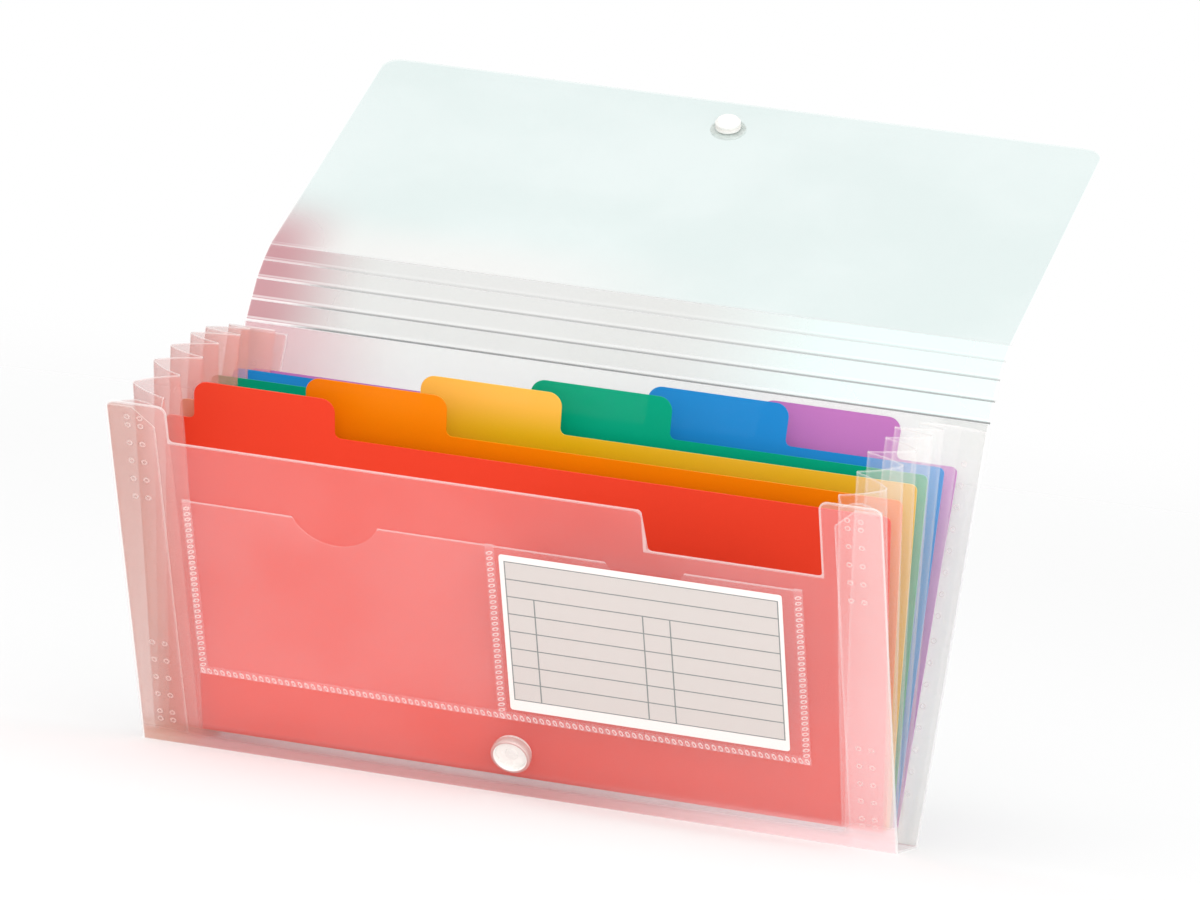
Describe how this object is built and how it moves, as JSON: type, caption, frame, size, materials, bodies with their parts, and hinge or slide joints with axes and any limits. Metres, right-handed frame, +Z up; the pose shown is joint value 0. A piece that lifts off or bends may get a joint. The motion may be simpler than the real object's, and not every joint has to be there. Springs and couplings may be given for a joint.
{
  "type": "accordion file folder",
  "caption": "Clear plastic expanding file with pleated side gussets, coloured tabbed dividers, a front pocket with an index card, and a creased flap that closes with a snap.",
  "frame": {"origin": "middle of the underside of the bottom panel, which the file stands on", "axes": "+X to the right of someone facing the front panel, +Y towards the back panel, +Z up"},
  "size_m": [0.25, 0.2485, 0.2213],
  "materials": {
    "cover_sheet": "clear frosted polypropylene sheet, smooth with a slight sheen",
    "pocket_film": "thin clear film",
    "gusset_film": "thin frosted film, creased",
    "card_paper": null,
    "snap_white": "white moulded plastic",
    "red_sheet": "tinted translucent polypropylene sheet, red",
    "orange_sheet": "tinted translucent polypropylene sheet, orange",
    "yellow_sheet": "tinted translucent polypropylene sheet, yellow",
    "green_sheet": "tinted translucent polypropylene sheet, green",
    "blue_sheet": "tinted translucent polypropylene sheet, blue",
    "purple_sheet": "tinted translucent polypropylene sheet, lilac"
  },
  "bodies": {
    "base": {"bottom_panel": "cover_sheet", "gusset_left": "gusset_film", "gusset_right": "gusset_film"},
    "front": {"front_panel": "cover_sheet", "front_pocket": "pocket_film", "snap_socket": "snap_white", "socket_rivet": "snap_white"},
    "card": {"index_card": "card_paper"},
    "back": {"back_panel": "cover_sheet"},
    "strip_1": {"flap_strip_1": "cover_sheet"},
    "strip_2": {"flap_strip_2": "cover_sheet"},
    "strip_3": {"flap_strip_3": "cover_sheet"},
    "strip_4": {"flap_strip_4": "cover_sheet"},
    "flap": {"flap_panel": "cover_sheet", "snap_stud": "snap_white", "stud_rivet": "snap_white"},
    "divider_red": {"divider_red": "red_sheet"},
    "divider_orange": {"divider_orange": "orange_sheet"},
    "divider_yellow": {"divider_yellow": "yellow_sheet"},
    "divider_green": {"divider_green": "green_sheet"},
    "divider_blue": {"divider_blue": "blue_sheet"},
    "divider_purple": {"divider_purple": "purple_sheet"}
  },
  "joints": [
    {"name": "front_hinge", "type": "hinge", "parent": "base", "child": "front", "pos_m": [0, -0.013, 0.0003], "axis": [-1, 0, 0], "range_deg": [0, 37.66], "deforming": ["gusset_left", "gusset_right"]},
    {"name": "back_hinge", "type": "hinge", "parent": "base", "child": "back", "pos_m": [0, 0.013, 0.0003], "axis": [1, 0, 0], "range_deg": [0, 13.66]},
    {"name": "red_hinge", "type": "hinge", "parent": "base", "child": "divider_red", "pos_m": [0, -0.00826, 0.00538], "axis": [1, 0, 0], "range_deg": [-24.78, 0]},
    {"name": "orange_hinge", "type": "hinge", "parent": "base", "child": "divider_orange", "pos_m": [0, -0.00436, 0.00555], "axis": [1, 0, 0], "range_deg": [-18.54, 0]},
    {"name": "yellow_hinge", "type": "hinge", "parent": "base", "child": "divider_yellow", "pos_m": [0, -0.00032, 0.00571], "axis": [1, 0, 0], "range_deg": [-10.82, 0]},
    {"name": "green_hinge", "type": "hinge", "parent": "base", "child": "divider_green", "pos_m": [0, 0.00355, 0.00577], "axis": [1, 0, 0], "range_deg": [-5.19, 0]},
    {"name": "blue_hinge", "type": "hinge", "parent": "base", "child": "divider_blue", "pos_m": [0, 0.00779, 0.00579], "axis": [1, 0, 0], "range_deg": [0, 4.54]},
    {"name": "purple_hinge", "type": "hinge", "parent": "base", "child": "divider_purple", "pos_m": [0, 0.01154, 0.00572], "axis": [1, 0, 0], "range_deg": [0, 12.5]},
    {"name": "crease_1", "type": "hinge", "parent": "back", "child": "strip_1", "pos_m": [0, 0.03895, 0.1338], "axis": [1, 0, 0], "range_deg": [-30, 100.34]},
    {"name": "crease_2", "type": "hinge", "parent": "strip_1", "child": "strip_2", "pos_m": [0, 0.042, 0.14065], "axis": [1, 0, 0], "range_deg": [-15, 1]},
    {"name": "crease_3", "type": "hinge", "parent": "strip_2", "child": "strip_3", "pos_m": [0, 0.04517, 0.14745], "axis": [1, 0, 0], "range_deg": [-15, 99.35]},
    {"name": "crease_4", "type": "hinge", "parent": "strip_3", "child": "strip_4", "pos_m": [0, 0.04984, 0.15332], "axis": [1, 0, 0], "range_deg": [-10, 9]},
    {"name": "crease_5", "type": "hinge", "parent": "strip_4", "child": "flap", "pos_m": [0, 0.05537, 0.15839], "axis": [1, 0, 0], "range_deg": [-10, 11]},
    {"name": "card_slide", "type": "slide", "parent": "front", "child": "card", "axis": [0, -0.5736, 0.8192], "range_m": [0, 0.03]}
  ],
  "couplings": [
    {"joint": "back_hinge", "follows": "front_hinge", "ratio": 0.36264},
    {"joint": "red_hinge", "follows": "front_hinge", "ratio": -0.65791},
    {"joint": "orange_hinge", "follows": "front_hinge", "ratio": -0.49199},
    {"joint": "yellow_hinge", "follows": "front_hinge", "ratio": -0.28713},
    {"joint": "green_hinge", "follows": "front_hinge", "ratio": -0.13753},
    {"joint": "blue_hinge", "follows": "front_hinge", "ratio": 0.12022},
    {"joint": "purple_hinge", "follows": "front_hinge", "ratio": 0.33165}
  ]
}
